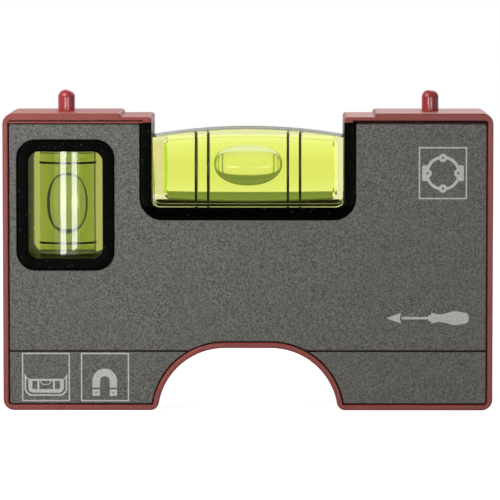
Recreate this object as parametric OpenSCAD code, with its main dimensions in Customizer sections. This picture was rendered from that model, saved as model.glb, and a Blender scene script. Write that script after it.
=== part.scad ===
// Mini spirit level for flush mounting boxes: a moulded frame with grey cover plates,
// a level vial in the top edge, a plumb vial beside it, two locating pins and base magnets.
// X runs along the base, Y from the front face to the rear face, Z up from the base.

/* [Body] */
// Width over the two end faces
body_w = 80; // [74:0.5:100]
// Depth from the front rim to the rear rim
body_d = 20; // [18:0.5:30]
// Height of the raised pads above the base
pad_h = 48.6; // [44:0.2:60]
// Length of each raised pad, from the end face
pad_l = 19.3; // [14:0.1:22]
// Step from the pads down to the inner rails
rail_drop = 0.6; // [0.3:0.1:2]
// Thickness of the rails above the cover plates
rail_t = 1.0; // [0.8:0.1:3]
// Radius of the upper outer corners
top_corner_r = 2.3; // [1.5:0.1:4]
// Radius of the lower outer corners
base_corner_r = 1.8; // [1.2:0.1:4]
// Radius of the rail ends beside the level vial
rail_end_r = 0.9; // [0.3:0.1:0.9]
// Radius of the pads' inner top corners
pad_corner_r = 0.5; // [0.2:0.1:0.6]

/* [Frame walls] */
// Width of the rim that shows round the cover plates
rim_w = 0.9; // [0.7:0.1:2]
// Wall behind the rim that carries the cover plates
wall_t = 1.6; // [1.2:0.1:3]
// Web at mid-depth
web_t = 3; // [2:0.5:6]

/* [Arch] */
// Height of the arch above the base
arch_h = 10.2; // [6:0.2:13]
// Radius of the arch's two shoulders
arch_r = 11; // [8:0.5:14]
// Flat length between the two shoulders
arch_flat = 7.5; // [2:0.5:14]
// Radius of the feet's inner corners
foot_corner_r = 1.4; // [0.5:0.1:2]

/* [Cover plates] */
// Thickness of each cover plate
plate_t = 2; // [1.2:0.1:3]
// Depth of the plates below the rim
plate_recess = 0.2; // [0.1:0.05:0.6]
// Gap between a plate and the rim
plate_gap = 0.2; // [0.1:0.05:0.4]
// Gap between a plate and the vial surrounds
surround_gap = 0.1; // [0.05:0.05:0.3]
// Height of the seam between the upper plates and the foot plates
seam_h = 9.7; // [7:0.1:12]
// Width of the seam
seam_w = 0.3; // [0.2:0.1:1]

/* [Level vial] */
// Length of the level vial's block
level_l = 31.2; // [26:0.2:33]
// Height of the block at its ends
level_end_h = 11.35; // [11.2:0.05:13]
// Rise of the block's arched top in the middle
level_rise = 1.3; // [1.2:0.1:2.5]
// Depth of the block
level_d = 16; // [14:0.5:18]
// Radius of the block's lower corners
level_corner_r = 1.2; // [0.5:0.1:2]
// Drop from the rails to the vial's axis
level_drop = 8.65; // [7:0.05:10]
// Height of the vial's axis above the block's underside
level_axis_h = 6.15; // [6.1:0.05:6.3]
// Radius of the barrel bore in the middle
level_bore_r = 5.6; // [4.8:0.1:5.7]
// Radius of the barrel's curve along its length
level_barrel_r = 230; // [160:10:600]
// Thickness of the end wall
level_end_t = 1; // [0.8:0.1:2]
// Thickness of the plug at the other end
level_plug_t = 1.7; // [1:0.1:3]
// Radius of the plug
level_plug_r = 4.4; // [3:0.1:4.6]
// Distance of the inner rings from the middle
level_ring_inner_x = 6.55; // [6:0.05:7.5]
// Distance of the outer rings from the middle
level_ring_outer_x = 8.55; // [8.1:0.05:11]
// Length of the level bubble
level_bubble_l = 11.2; // [9:0.2:12]
// Width of the level bubble
level_bubble_w = 7; // [5:0.2:8]
// Angle of the level bubble above the front of the bore
level_bubble_lift = 9; // [0:1:30]

/* [Plumb vial] */
// Distance of the plumb vial's axis from the left end face
plumb_x = 10.25; // [9.6:0.05:13]
// Width of the plumb vial's block
plumb_w = 11.9; // [10.8:0.1:12]
// Height of the block
plumb_h = 17.3; // [17:0.1:20]
// Depth of the block
plumb_d = 16; // [12:0.5:18]
// Radius of the block's corners
plumb_corner_r = 1.6; // [0.5:0.1:2.5]
// Drop from the pads to the middle of the plumb vial
plumb_drop = 15; // [15:0.1:18]
// Radius of the barrel bore in the middle
plumb_bore_r = 4.55; // [4.2:0.05:4.9]
// Radius of the barrel's curve along its length
plumb_barrel_r = 150; // [100:10:400]
// Thickness of the end wall
plumb_end_t = 1; // [0.8:0.1:1.2]
// Thickness of the plug at the other end
plumb_plug_t = 1.3; // [1:0.1:1.4]
// Radius of the plug
plumb_plug_r = 3.6; // [2.5:0.1:3.8]
// Distance of the two rings from the middle
plumb_ring_z = 6.6; // [6:0.05:6.7]
// Length of the plumb bubble
plumb_bubble_l = 10; // [8:0.2:10.4]
// Width of the plumb bubble
plumb_bubble_w = 6.2; // [4:0.2:6.8]

/* [Vial details] */
// Wall of the black surrounds
surround_wall = 1.85; // [1.4:0.05:2]
// Outer corner radius of the level vial's cradle
cradle_corner_r = 3.6; // [2.5:0.1:5]
// Outer corner radius of the plumb vial's sleeve
sleeve_corner_r = 3; // [2.5:0.1:4.5]
// Width of a marking ring along the vial
ring_w = 0.4; // [0.2:0.05:0.6]
// Thickness of a marking ring
ring_t = 0.3; // [0.2:0.05:0.35]
// Chamfer at the ends of a bore
bore_chamfer = 0.8; // [0.4:0.1:1]
// Gap between the liquid and its bore, and round the bubble
liquid_gap = 0.15; // [0.1:0.05:0.2]
// Depth of a bubble behind the front of the liquid
bubble_depth = 2.2; // [1.5:0.1:2.6]
// Travel of the level bubble to each side
level_travel = 7.5; // [4:0.1:7.5]
// Travel of the plumb bubble to each side
plumb_travel = 1.7; // [1:0.1:1.7]

/* [Pins and magnets] */
// Distance between the two pins, the screw pitch of a flush mounting box
pin_pitch = 60; // [58:0.5:62]
// Radius of a pin
pin_r = 1.4; // [1:0.1:1.7]
// Radius of the tenon that holds a pin in the frame
pin_tenon_r = 0.9; // [0.5:0.1:0.9]
// Height of a pin above its pad
pin_h = 3.5; // [2.5:0.1:6]
// Depth of the tenon in the frame
pin_seat = 3; // [2:0.1:3.2]
// Depth of the pin's shoulder below the pad
pin_sink = 0.05; // [0.02:0.01:0.1]
// Radius of a magnet
magnet_r = 5; // [3:0.5:6]
// Thickness of a magnet
magnet_t = 4; // [2:0.5:5]
// Distance of a magnet's middle from the end face
magnet_inset = 12.5; // [10:0.5:13]

/* [Fits] */
// Gap round a vial block in its surround
block_fit = 0.1; // [0.05:0.05:0.2]
// Gap round a surround in the frame
surround_fit = 0.1; // [0.05:0.05:0.2]
// Gap round pins, plugs and rings in their seats
press_fit = 0.02; // [0.01:0.01:0.05]
// Gap round a magnet in its pocket
magnet_fit = 0.05; // [0.02:0.01:0.2]

/* [Hidden] */
$fn = 96;
// Facets of the long flat curves
long_fn = 360;
// Overrun of a cut past the face that it opens
over = 1;
// Least radius left on a corner that is set inwards
least_r = 0.3;

half_w = body_w / 2;
half_d = body_d / 2;
rail_h = pad_h - rail_drop;
// Underside of the rails, where the plates and the cradle's arms end
plate_top = rail_h - rail_t;
arch_z = arch_h - arch_r;
arch_x = arch_flat / 2;

plate_front = half_d - plate_recess;
plate_back = plate_front - plate_t;

level_z = rail_h - level_drop;
level_base = level_z - level_axis_h;
level_crown_h = level_end_h + level_rise;
level_crown_r = (pow(level_l / 2, 2) + pow(level_rise, 2)) / (2 * level_rise);
// Ends of the level bore along X, from the middle
level_bore_lo = level_plug_t - level_l / 2;
level_bore_hi = level_l / 2 - level_end_t;
cradle_in = level_l / 2 + block_fit;
cradle_out = cradle_in + surround_wall;

plumb_axis_x = plumb_x - half_w;
plumb_z = pad_h - plumb_drop;
// Ends of the plumb bore along Z, from the middle
plumb_bore_lo = plumb_plug_t - plumb_h / 2;
plumb_bore_hi = plumb_h / 2 - plumb_end_t;

foot_top = seam_h + wall_t;
magnet_x = half_w - magnet_inset;

red = "#a5423c";
grey = "#64635e";
black = "#0d0d0b";
clear = "#e6ecd6";
lime = "#d2e04a";
pale = "#f2f6c8";
steel = "#b8babc";

// Radius of a barrel at a distance from its middle
function barrel_at(mid_r, curve_r, along) =
    mid_r - curve_r + sqrt(pow(curve_r, 2) - pow(along, 2));

// Flat shapes are drawn with X across and Z up, and slab() gives them depth along Y
module slab(y_low, y_high) {
    translate([0, y_high, 0])
        rotate([90, 0, 0])
            linear_extrude(y_high - y_low)
                children();
}

// Slab that is measured inwards from the front face (side = -1) or the rear face (side = 1)
module face_slab(side, near, far) {
    if (side < 0)
        slab(-far, -near) children();
    else
        slab(near, far) children();
}

// Rectangle with one radius on its lower corners and one on its upper corners
module round_rect(x_low, z_low, x_high, z_high, low_r, high_r) {
    mid = (z_low + z_high) / 2;
    translate([x_low, z_low + low_r])
        square([x_high - x_low, z_high - z_low - low_r - high_r]);
    translate([x_low + low_r, z_low])
        square([x_high - x_low - 2 * low_r, mid - z_low]);
    translate([x_low + high_r, mid])
        square([x_high - x_low - 2 * high_r, z_high - mid]);
    for (x = [x_low + low_r, x_high - low_r])
        translate([x, z_low + low_r])
            circle(low_r);
    if (high_r > 0)
        for (x = [x_low + high_r, x_high - high_r])
            translate([x, z_high - high_r])
                circle(high_r);
}

// What a round corner takes off a square one, with the corner at the origin
module corner_waste(r) {
    difference() {
        translate([-over, -over])
            square(r + over);
        translate([-over, r])
            square([over, over]);
        translate([r, r])
            circle(r);
    }
}

// The arch between the feet, widened by a margin
module arch_outline(margin) {
    for (side = [-1, 1])
        translate([side * arch_x, arch_z])
            circle(arch_r + margin);
    translate([-arch_x, -over])
        square([arch_flat, arch_h + margin + over]);
}

// What the round inner corner of the right foot takes off
module foot_waste() {
    reach = arch_r + foot_corner_r;
    rise = foot_corner_r - arch_z;
    run = sqrt(pow(reach, 2) - pow(rise, 2));
    share = arch_r / reach;
    centre = [arch_x + run, foot_corner_r];
    touch = [arch_x + run * share, arch_z + rise * share];
    difference() {
        polygon([centre, touch, [touch[0] - over, -over], [centre[0], -over]]);
        translate(centre)
            circle(foot_corner_r);
    }
}

// The body's outline, set inwards by a margin at the sides, the base and the arch
module body_outline(margin, top) {
    difference() {
        round_rect(margin - half_w, margin, half_w - margin, top,
                   max(base_corner_r - margin, least_r), max(top_corner_r - margin, least_r));
        arch_outline(margin);
    }
}

// Outline of the level vial's cradle, widened by a margin
module cradle_outline(margin) {
    round_rect(-cradle_out - margin, level_base - block_fit - surround_wall - margin,
               cradle_out + margin, plate_top, cradle_corner_r + margin, 0);
}

// Outline of the plumb vial's sleeve, widened by a margin
module sleeve_outline(margin) {
    out_x = plumb_w / 2 + block_fit + surround_wall + margin;
    out_z = plumb_h / 2 + block_fit + surround_wall + margin;
    round_rect(plumb_axis_x - out_x, plumb_z - out_z, plumb_axis_x + out_x, plumb_z + out_z,
               sleeve_corner_r + margin, sleeve_corner_r + margin);
}

// Outline of the level vial's block, widened by a margin at the sides and below
module level_outline(margin) {
    intersection() {
        round_rect(-level_l / 2 - margin, level_base - margin, level_l / 2 + margin,
                   level_base + level_crown_h + over, level_corner_r + margin, 0);
        translate([0, level_base + level_crown_h - level_crown_r])
            circle(level_crown_r, $fn = long_fn);
    }
}

// Outline of the plumb vial's block, widened by a margin
module plumb_outline(margin) {
    out_x = plumb_w / 2 + margin;
    out_z = plumb_h / 2 + margin;
    round_rect(plumb_axis_x - out_x, plumb_z - out_z, plumb_axis_x + out_x, plumb_z + out_z,
               plumb_corner_r + margin, plumb_corner_r + margin);
}

// Region that the cover plates fill, from the base rim to the rails
module plate_region(margin) {
    body_outline(rim_w + margin, plate_top - margin);
}

// Hollow between the web and a cover plate
module hollow_region() {
    margin = rim_w + wall_t;
    difference() {
        body_outline(margin, plate_top - wall_t);
        cradle_outline(surround_fit + wall_t);
        sleeve_outline(surround_fit + wall_t);
        translate([-half_w, 0])
            square([body_w, foot_top]);
        for (side = [-1, 1])
            translate([side * pin_pitch / 2 - pin_tenon_r - wall_t, pad_h - pin_seat - wall_t])
                square([2 * (pin_tenon_r + wall_t), pin_seat + wall_t]);
    }
}

// The top edge: lower rails between the pads, and the opening for the level vial
module top_waste() {
    step_x = half_w - pad_l;
    translate([-step_x, rail_h])
        square([2 * step_x, rail_drop + over]);
    translate([-cradle_in, plate_top - over])
        square([2 * cradle_in, rail_t + rail_drop + 2 * over]);
    for (side = [0, 1])
        mirror([side, 0]) {
            translate([step_x, pad_h])
                mirror([0, 1])
                    corner_waste(pad_corner_r);
            translate([cradle_in, rail_h])
                mirror([0, 1])
                    corner_waste(rail_end_r);
        }
}

module frame() {
    color(red)
    difference() {
        slab(-half_d, half_d)
            difference() {
                body_outline(0, pad_h);
                top_waste();
                for (side = [0, 1])
                    mirror([side, 0])
                        foot_waste();
            }
        for (side = [-1, 1]) {
            face_slab(side, plate_back, half_d + over)
                plate_region(0);
            face_slab(side, web_t / 2, plate_back + over)
                hollow_region();
        }
        slab(-half_d - over, half_d + over)
            cradle_outline(surround_fit);
        slab(-half_d - over, half_d + over)
            sleeve_outline(surround_fit);
        for (side = [-1, 1]) {
            translate([side * pin_pitch / 2, 0, pad_h - pin_seat])
                cylinder(r = pin_tenon_r + press_fit, h = pin_seat + over);
            translate([side * pin_pitch / 2, 0, pad_h - pin_sink])
                cylinder(r = pin_r + press_fit, h = pin_sink + over);
            translate([side * magnet_x, 0, -over])
                cylinder(r = magnet_r + magnet_fit, h = magnet_t + over);
        }
    }
}

// Cover plate above the seam
module upper_plate(side) {
    face_slab(side, plate_back, plate_front)
        difference() {
            plate_region(plate_gap);
            translate([-half_w, 0])
                square([body_w, seam_h + seam_w / 2]);
            cradle_outline(surround_gap);
            sleeve_outline(surround_gap);
        }
}

// Cover plate of one foot, left (end = -1) or right (end = 1)
module foot_plate(side, end) {
    face_slab(side, plate_back, plate_front)
        intersection() {
            plate_region(plate_gap);
            translate([end < 0 ? -half_w : 0, 0])
                square([half_w, seam_h - seam_w / 2]);
        }
}

module front_plate() {
    color(grey) upper_plate(-1);
}

module front_foot_plate_left() {
    color(grey) foot_plate(-1, -1);
}

module front_foot_plate_right() {
    color(grey) foot_plate(-1, 1);
}

module rear_plate() {
    color(grey) upper_plate(1);
}

module rear_foot_plate_left() {
    color(grey) foot_plate(1, -1);
}

module rear_foot_plate_right() {
    color(grey) foot_plate(1, 1);
}

// Half section of a barrel: radius across, length along the vial, with chamfered ends
module barrel_section(mid_r, curve_r, low, high) {
    end_r = mid_r - bore_chamfer;
    intersection() {
        polygon([
            [0, low],
            [end_r, low],
            [mid_r, low + bore_chamfer],
            [mid_r, high - bore_chamfer],
            [end_r, high],
            [0, high]
        ]);
        translate([mid_r - curve_r, 0])
            circle(curve_r, $fn = long_fn);
    }
}

// Marking ring round a bore, widened by a margin, at a distance along the vial
module ring_body(mid_r, curve_r, along, margin) {
    in_r = barrel_at(mid_r, curve_r, abs(along) - ring_w / 2);
    translate([0, 0, along - ring_w / 2 - margin])
        difference() {
            cylinder(r = in_r + ring_t + margin, h = ring_w + 2 * margin);
            translate([0, 0, -over])
                cylinder(r = in_r, h = ring_w + 2 * margin + 2 * over);
        }
}

// Outline of a bubble seen from the front, along Y in the flat drawing
module bubble_outline(length, width, margin) {
    reach = (length - width) / 2;
    for (end = [-1, 1])
        translate([0, end * reach])
            circle(width / 2 + margin);
    square([width + 2 * margin, 2 * reach], center = true);
}

// Bubble along Z at the front of a barrel, clear of the bore as far as it travels
module bubble_body(mid_r, curve_r, length, width, travel) {
    front_r = barrel_at(mid_r, curve_r, travel + length / 2) - liquid_gap;
    intersection() {
        cylinder(r = front_r, h = length + 2 * front_r, center = true);
        slab(-mid_r, bubble_depth - mid_r)
            bubble_outline(length, width, 0);
    }
}

// Liquid along Z with the channel that its bubble travels in
module liquid_body(mid_r, curve_r, low, high, length, width, travel) {
    difference() {
        rotate_extrude()
            barrel_section(mid_r - liquid_gap, curve_r, low + liquid_gap, high - liquid_gap);
        slab(-mid_r - over, bubble_depth + liquid_gap - mid_r)
            bubble_outline(length + 2 * travel, width, liquid_gap);
    }
}

// Puts what was drawn along Z on the level vial's axis, with its low end to the left
module on_level_axis() {
    translate([0, 0, level_z])
        rotate([0, 90, 0])
            children();
}

// Turns the level bubble up from the front of the bore
module at_level_lift() {
    rotate([0, 0, -level_bubble_lift])
        children();
}

// Puts what was drawn along Z on the plumb vial's axis
module on_plumb_axis() {
    translate([plumb_axis_x, 0, plumb_z])
        children();
}

module level_vial_cradle() {
    color(black)
    slab(-half_d, half_d)
        difference() {
            cradle_outline(0);
            round_rect(-cradle_in, level_base - block_fit, cradle_in, plate_top + over,
                       level_corner_r + block_fit, 0);
        }
}

module level_vial_block() {
    color(clear)
    difference() {
        slab(-level_d / 2, level_d / 2)
            level_outline(0);
        on_level_axis() {
            rotate_extrude()
                barrel_section(level_bore_r, level_barrel_r, level_bore_lo, level_bore_hi);
            translate([0, 0, -level_l / 2 - over])
                cylinder(r = level_plug_r + press_fit, h = level_plug_t + 2 * over);
            for (along = [-level_ring_outer_x, -level_ring_inner_x, level_ring_inner_x, level_ring_outer_x])
                ring_body(level_bore_r, level_barrel_r, along, press_fit);
        }
    }
}

module level_vial_plug() {
    color(clear)
    on_level_axis()
        translate([0, 0, -level_l / 2])
            cylinder(r = level_plug_r, h = level_plug_t);
}

module level_ring(along) {
    color(black)
    on_level_axis()
        ring_body(level_bore_r, level_barrel_r, along, 0);
}

module level_vial_ring_left_outer() {
    level_ring(-level_ring_outer_x);
}

module level_vial_ring_left_inner() {
    level_ring(-level_ring_inner_x);
}

module level_vial_ring_right_inner() {
    level_ring(level_ring_inner_x);
}

module level_vial_ring_right_outer() {
    level_ring(level_ring_outer_x);
}

module level_vial_liquid() {
    color(lime)
    on_level_axis()
        at_level_lift()
            liquid_body(level_bore_r, level_barrel_r, level_bore_lo, level_bore_hi,
                        level_bubble_l, level_bubble_w, level_travel);
}

module level_vial_bubble() {
    color(pale)
    on_level_axis()
        at_level_lift()
            bubble_body(level_bore_r, level_barrel_r, level_bubble_l, level_bubble_w, level_travel);
}

module plumb_vial_sleeve() {
    color(black)
    slab(-half_d, half_d)
        difference() {
            sleeve_outline(0);
            plumb_outline(block_fit);
        }
}

module plumb_vial_block() {
    color(clear)
    difference() {
        slab(-plumb_d / 2, plumb_d / 2)
            plumb_outline(0);
        on_plumb_axis() {
            rotate_extrude()
                barrel_section(plumb_bore_r, plumb_barrel_r, plumb_bore_lo, plumb_bore_hi);
            translate([0, 0, -plumb_h / 2 - over])
                cylinder(r = plumb_plug_r + press_fit, h = plumb_plug_t + 2 * over);
            for (along = [-plumb_ring_z, plumb_ring_z])
                ring_body(plumb_bore_r, plumb_barrel_r, along, press_fit);
        }
    }
}

module plumb_vial_plug() {
    color(clear)
    on_plumb_axis()
        translate([0, 0, -plumb_h / 2])
            cylinder(r = plumb_plug_r, h = plumb_plug_t);
}

module plumb_ring(along) {
    color(black)
    on_plumb_axis()
        ring_body(plumb_bore_r, plumb_barrel_r, along, 0);
}

module plumb_vial_ring_upper() {
    plumb_ring(plumb_ring_z);
}

module plumb_vial_ring_lower() {
    plumb_ring(-plumb_ring_z);
}

module plumb_vial_liquid() {
    color(lime)
    on_plumb_axis()
        liquid_body(plumb_bore_r, plumb_barrel_r, plumb_bore_lo, plumb_bore_hi,
                    plumb_bubble_l, plumb_bubble_w, plumb_travel);
}

module plumb_vial_bubble() {
    color(pale)
    on_plumb_axis()
        bubble_body(plumb_bore_r, plumb_barrel_r, plumb_bubble_l, plumb_bubble_w, plumb_travel);
}

// Pin with a half-round tip and a shoulder in its pad, held by a thinner tenon
module pin_body(side) {
    color(red)
    translate([side * pin_pitch / 2, 0, pad_h])
        rotate_extrude() {
            translate([0, -pin_seat])
                square([pin_tenon_r, pin_seat]);
            translate([0, -pin_sink])
                square([pin_r, pin_sink + pin_h - pin_r]);
            translate([0, pin_h - pin_r])
                intersection() {
                    circle(pin_r);
                    square(pin_r);
                }
        }
}

module pin_left() {
    pin_body(-1);
}

module pin_right() {
    pin_body(1);
}

// Disc magnet, flush with the base
module magnet_body(side) {
    color(steel)
    translate([side * magnet_x, 0, 0])
        cylinder(r = magnet_r, h = magnet_t);
}

module magnet_left() {
    magnet_body(-1);
}

module magnet_right() {
    magnet_body(1);
}

frame();
front_plate();
front_foot_plate_left();
front_foot_plate_right();
rear_plate();
rear_foot_plate_left();
rear_foot_plate_right();
level_vial_cradle();
level_vial_block();
level_vial_plug();
level_vial_ring_left_outer();
level_vial_ring_left_inner();
level_vial_ring_right_inner();
level_vial_ring_right_outer();
level_vial_liquid();
level_vial_bubble();
plumb_vial_sleeve();
plumb_vial_block();
plumb_vial_plug();
plumb_vial_ring_upper();
plumb_vial_ring_lower();
plumb_vial_liquid();
plumb_vial_bubble();
pin_left();
pin_right();
magnet_left();
magnet_right();
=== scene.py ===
# %% [markdown]
# # A mini spirit level for wiring boxes
# The real object is a pocket level that fits in a hand: a red moulded frame, grey textured cover plates,
# a level vial at the top edge, a plumb vial at the left, two pins that fit the screw holes of a wall box,
# and a magnet in each foot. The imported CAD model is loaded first, because every place below is read from
# it. Each step then makes one piece as a mould maker would, and gives it its own finish.

# %% Load the frame
import math

import bmesh
import bpy
from mathutils import Matrix, Vector


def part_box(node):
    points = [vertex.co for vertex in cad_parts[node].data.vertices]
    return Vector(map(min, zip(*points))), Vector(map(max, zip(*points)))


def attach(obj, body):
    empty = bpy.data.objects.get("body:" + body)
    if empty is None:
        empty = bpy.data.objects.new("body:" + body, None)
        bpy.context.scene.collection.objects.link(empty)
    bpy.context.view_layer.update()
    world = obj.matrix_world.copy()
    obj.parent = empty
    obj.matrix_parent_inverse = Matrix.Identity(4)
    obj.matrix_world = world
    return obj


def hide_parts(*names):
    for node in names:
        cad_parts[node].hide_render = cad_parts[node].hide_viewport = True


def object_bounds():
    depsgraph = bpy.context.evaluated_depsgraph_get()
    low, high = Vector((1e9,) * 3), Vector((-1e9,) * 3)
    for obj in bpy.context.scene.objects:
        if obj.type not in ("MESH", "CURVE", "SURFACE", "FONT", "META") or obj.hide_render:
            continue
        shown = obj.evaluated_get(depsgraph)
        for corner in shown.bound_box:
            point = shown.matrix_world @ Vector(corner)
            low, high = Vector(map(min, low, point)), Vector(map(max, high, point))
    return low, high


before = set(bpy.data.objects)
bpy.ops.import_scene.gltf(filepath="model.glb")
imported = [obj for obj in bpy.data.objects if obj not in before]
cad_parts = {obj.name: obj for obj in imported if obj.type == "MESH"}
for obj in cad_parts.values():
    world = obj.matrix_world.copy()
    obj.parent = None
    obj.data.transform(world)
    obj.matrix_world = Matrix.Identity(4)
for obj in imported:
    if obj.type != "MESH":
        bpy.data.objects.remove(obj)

MM = 0.001
cad_low, cad_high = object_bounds()
print("CAD box in mm:", [round(side / MM, 2) for side in cad_high - cad_low])

# %% [markdown]
# ## The camera
# The level was photographed nearly face-on through a long lens: the front of each pad and its top face
# both show, so the camera stands a little above. A camera could be placed by eye, but the scale of the
# front face gives the lens at once: the picture's width at the front plane over the distance.

# %% Camera
PICTURE_PX = 500
FRONT_PX_PER_MM = 6.13
SENSOR_MM = 36
CAMERA_AWAY = 700 * MM
CAMERA_AZIMUTH = math.radians(0.4)
CAMERA_ELEVATION = math.radians(4.2)
AIM_RIGHT = 0.36 * MM
AIM_UP = 26.3 * MM


def toward(azimuth, elevation):
    """Unit vector from the object to someone who looks at it from there."""
    level = math.cos(elevation)
    return Vector((math.sin(azimuth) * level, -math.cos(azimuth) * level, math.sin(elevation)))


camera_data = bpy.data.cameras.new("photo_camera")
camera_data.sensor_width = SENSOR_MM
camera_data.lens = SENSOR_MM * CAMERA_AWAY / (PICTURE_PX / FRONT_PX_PER_MM * MM)
camera = bpy.data.objects.new("photo_camera", camera_data)
to_camera = toward(CAMERA_AZIMUTH, CAMERA_ELEVATION)
camera.location = Vector((AIM_RIGHT, cad_low.y, AIM_UP)) + to_camera * CAMERA_AWAY
camera.rotation_euler = (-to_camera).to_track_quat("-Z", "Y").to_euler()
bpy.context.scene.collection.objects.link(camera)
bpy.context.scene.camera = camera
bpy.context.scene.view_settings.view_transform = "Standard"
print("lens in mm:", round(camera_data.lens, 1))

# %% [markdown]
# ## Shader helpers
# Every finish below is a small node tree. One function adds a node, sets it and links it, so that a
# material reads from top to bottom like a recipe. Colours are written as sRGB hex codes, as a colour
# picker gives them, and one function makes them linear for the sockets.

# %% Shader helpers
def colour(code):
    """Turn an sRGB hex code into the linear colour that a shader socket takes."""
    parts = [int(code[i:i + 2], 16) / 255 for i in (1, 3, 5)]
    linear = [p / 12.92 if p <= 0.04045 else ((p + 0.055) / 1.055) ** 2.4 for p in parts]
    return (*linear, 1.0)


def add(tree, kind, sockets=None, **settings):
    """Add a node; sockets gives each input a value, or (node, output) to link from."""
    node = tree.nodes.new("ShaderNode" + kind)
    for name, value in settings.items():
        setattr(node, name, value)
    for key, value in (sockets or {}).items():
        if isinstance(value, tuple) and isinstance(value[0], bpy.types.Node):
            tree.links.new(value[0].outputs[value[1]], node.inputs[key])
        else:
            node.inputs[key].default_value = value
    return node


def new_finish(name):
    """An empty material and its node tree."""
    material = bpy.data.materials.new(name)
    material.use_nodes = True
    material.node_tree.nodes.clear()
    return material, material.node_tree


def grain(tree, size_mm, detail=2.0, low=0.35, high=0.65):
    """A noise of that real grain size, stretched so that its middle range fills 0 to 1."""
    place = add(tree, "TexCoord")
    noise = add(tree, "TexNoise", {"Vector": (place, "Object"), "Scale": 1 / (size_mm * MM),
                                   "Detail": detail, "Roughness": 0.55})
    return add(tree, "MapRange", {"Value": (noise, "Fac"), "From Min": low, "From Max": high})


print("shader helpers ready")

# %% [markdown]
# ## The studio
# The photograph has a pure white ground. Floor and world could simply be bright, but then they would flood
# the object with light. So they look white to the camera, in reflections and through glass, while the
# light that they give stays plain, and the floor still takes the object's shadow. Reflections and glass
# see a slightly darker ceiling. A grey card all round, just above the floor's edge, shows in reflections
# alone: without it the black and red plastics would look dusty.

# %% World
AMBIENT = 0.16
CEILING = 0.7
CEILING_FROM = 0.2
CEILING_TO = 0.6
CARD_GREY = 0.22
CARD_HIGH = 0.08
CARD_CORE = 0.02
CARD_FADE = 0.08


def seen_directly(tree):
    """1 for camera, glossy and transmission rays, 0 for the rays that only carry light."""
    rays = add(tree, "LightPath")
    shiny = add(tree, "Math", {0: (rays, "Is Glossy Ray"), 1: (rays, "Is Transmission Ray")},
                operation="MAXIMUM")
    return add(tree, "Math", {0: (shiny, 0), 1: (rays, "Is Camera Ray")}, operation="MAXIMUM")


world = bpy.data.worlds.new("white_studio")
world.use_nodes = True
tree = world.node_tree
tree.nodes.clear()
look = add(tree, "SeparateXYZ", {0: (add(tree, "TexCoord"), "Generated")})
off_card = add(tree, "Math", {0: (look, "Z"), 1: CARD_HIGH}, operation="SUBTRACT")
from_card = add(tree, "Math", {0: (off_card, 0)}, operation="ABSOLUTE")
card = add(tree, "MapRange", {"Value": (from_card, 0), "From Min": CARD_CORE, "From Max": CARD_FADE,
                              "To Min": 1.0, "To Max": 0.0})
rays = add(tree, "LightPath")
in_mirror = add(tree, "Math", {0: (rays, "Is Glossy Ray"), 1: (rays, "Is Transmission Ray")},
                operation="SUBTRACT", use_clamp=True)
mirrored_card = add(tree, "Math", {0: (card, 0), 1: (in_mirror, 0)}, operation="MULTIPLY")
ceiling = add(tree, "MapRange", {"Value": (look, "Z"), "From Min": CEILING_FROM, "From Max": CEILING_TO,
                                 "To Min": 1.0, "To Max": CEILING})
overhead = add(tree, "Mix", {0: (mirrored_card, 0), 2: (ceiling, 0), 3: CARD_GREY})
seen = add(tree, "Mix", {0: (rays, "Is Camera Ray"), 2: (overhead, 0), 3: 1.0})
sky_strength = add(tree, "Mix", {0: (seen_directly(tree), 0), 2: AMBIENT, 3: (seen, 0)})
sky = add(tree, "Background", {"Color": (1, 1, 1, 1), "Strength": (sky_strength, 0)})
add(tree, "OutputWorld", {"Surface": (sky, 0)})
bpy.context.scene.world = world
print("the world gives", AMBIENT, "of the light that it shows")

# %% Floor
FLOOR_GLOW = 0.927
FLOOR_THROUGH_GLASS = 0.95
FLOOR_HALF = 4000 * MM
FLOOR_BELOW = 0.05 * MM

floor_white, tree = new_finish("white_paper_ground")
paper_colour = add(tree, "Mix", {0: (grain(tree, 2.0), 0), 6: colour("#b6b6b5"), 7: colour("#bebebe")},
                   data_type="RGBA")
paper = add(tree, "BsdfDiffuse", {"Color": (paper_colour, 2)})
glow_strength = add(tree, "Math", {0: (seen_directly(tree), 0), 1: FLOOR_GLOW}, operation="MULTIPLY")
glow = add(tree, "Emission", {"Strength": (glow_strength, 0)})
both = add(tree, "AddShader", {0: (paper, 0), 1: (glow, 0)})
through_glass = add(tree, "Emission", {"Strength": FLOOR_THROUGH_GLASS})
ground = add(tree, "MixShader", {0: (add(tree, "LightPath"), "Is Transmission Ray"), 1: (both, 0),
                                 2: (through_glass, 0)})
add(tree, "OutputMaterial", {"Surface": (ground, 0)})

floor_bm = bmesh.new()
bmesh.ops.create_grid(floor_bm, x_segments=1, y_segments=1, size=FLOOR_HALF)
bmesh.ops.translate(floor_bm, verts=floor_bm.verts[:], vec=(0, 0, cad_low.z - FLOOR_BELOW))
floor_mesh = bpy.data.meshes.new("ground")
floor_bm.to_mesh(floor_mesh)
floor_bm.free()
floor_mesh.materials.append(floor_white)
floor = bpy.data.objects.new("ground", floor_mesh)
bpy.context.scene.collection.objects.link(floor)
print("the floor lies", FLOOR_BELOW / MM, "mm below the feet")

# %% [markdown]
# ## The lamps
# The light in the photograph is soft and stronger from the upper left, and each glossy pin shows two thin
# upright streaks. So a soft box stands at the upper left, and a weaker one behind, for the rear sides. The
# streaks come from two low strips beside the camera, which only shine in glossy things and in glass. A
# lamp is placed as a photographer would say it: its direction and its distance.

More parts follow.
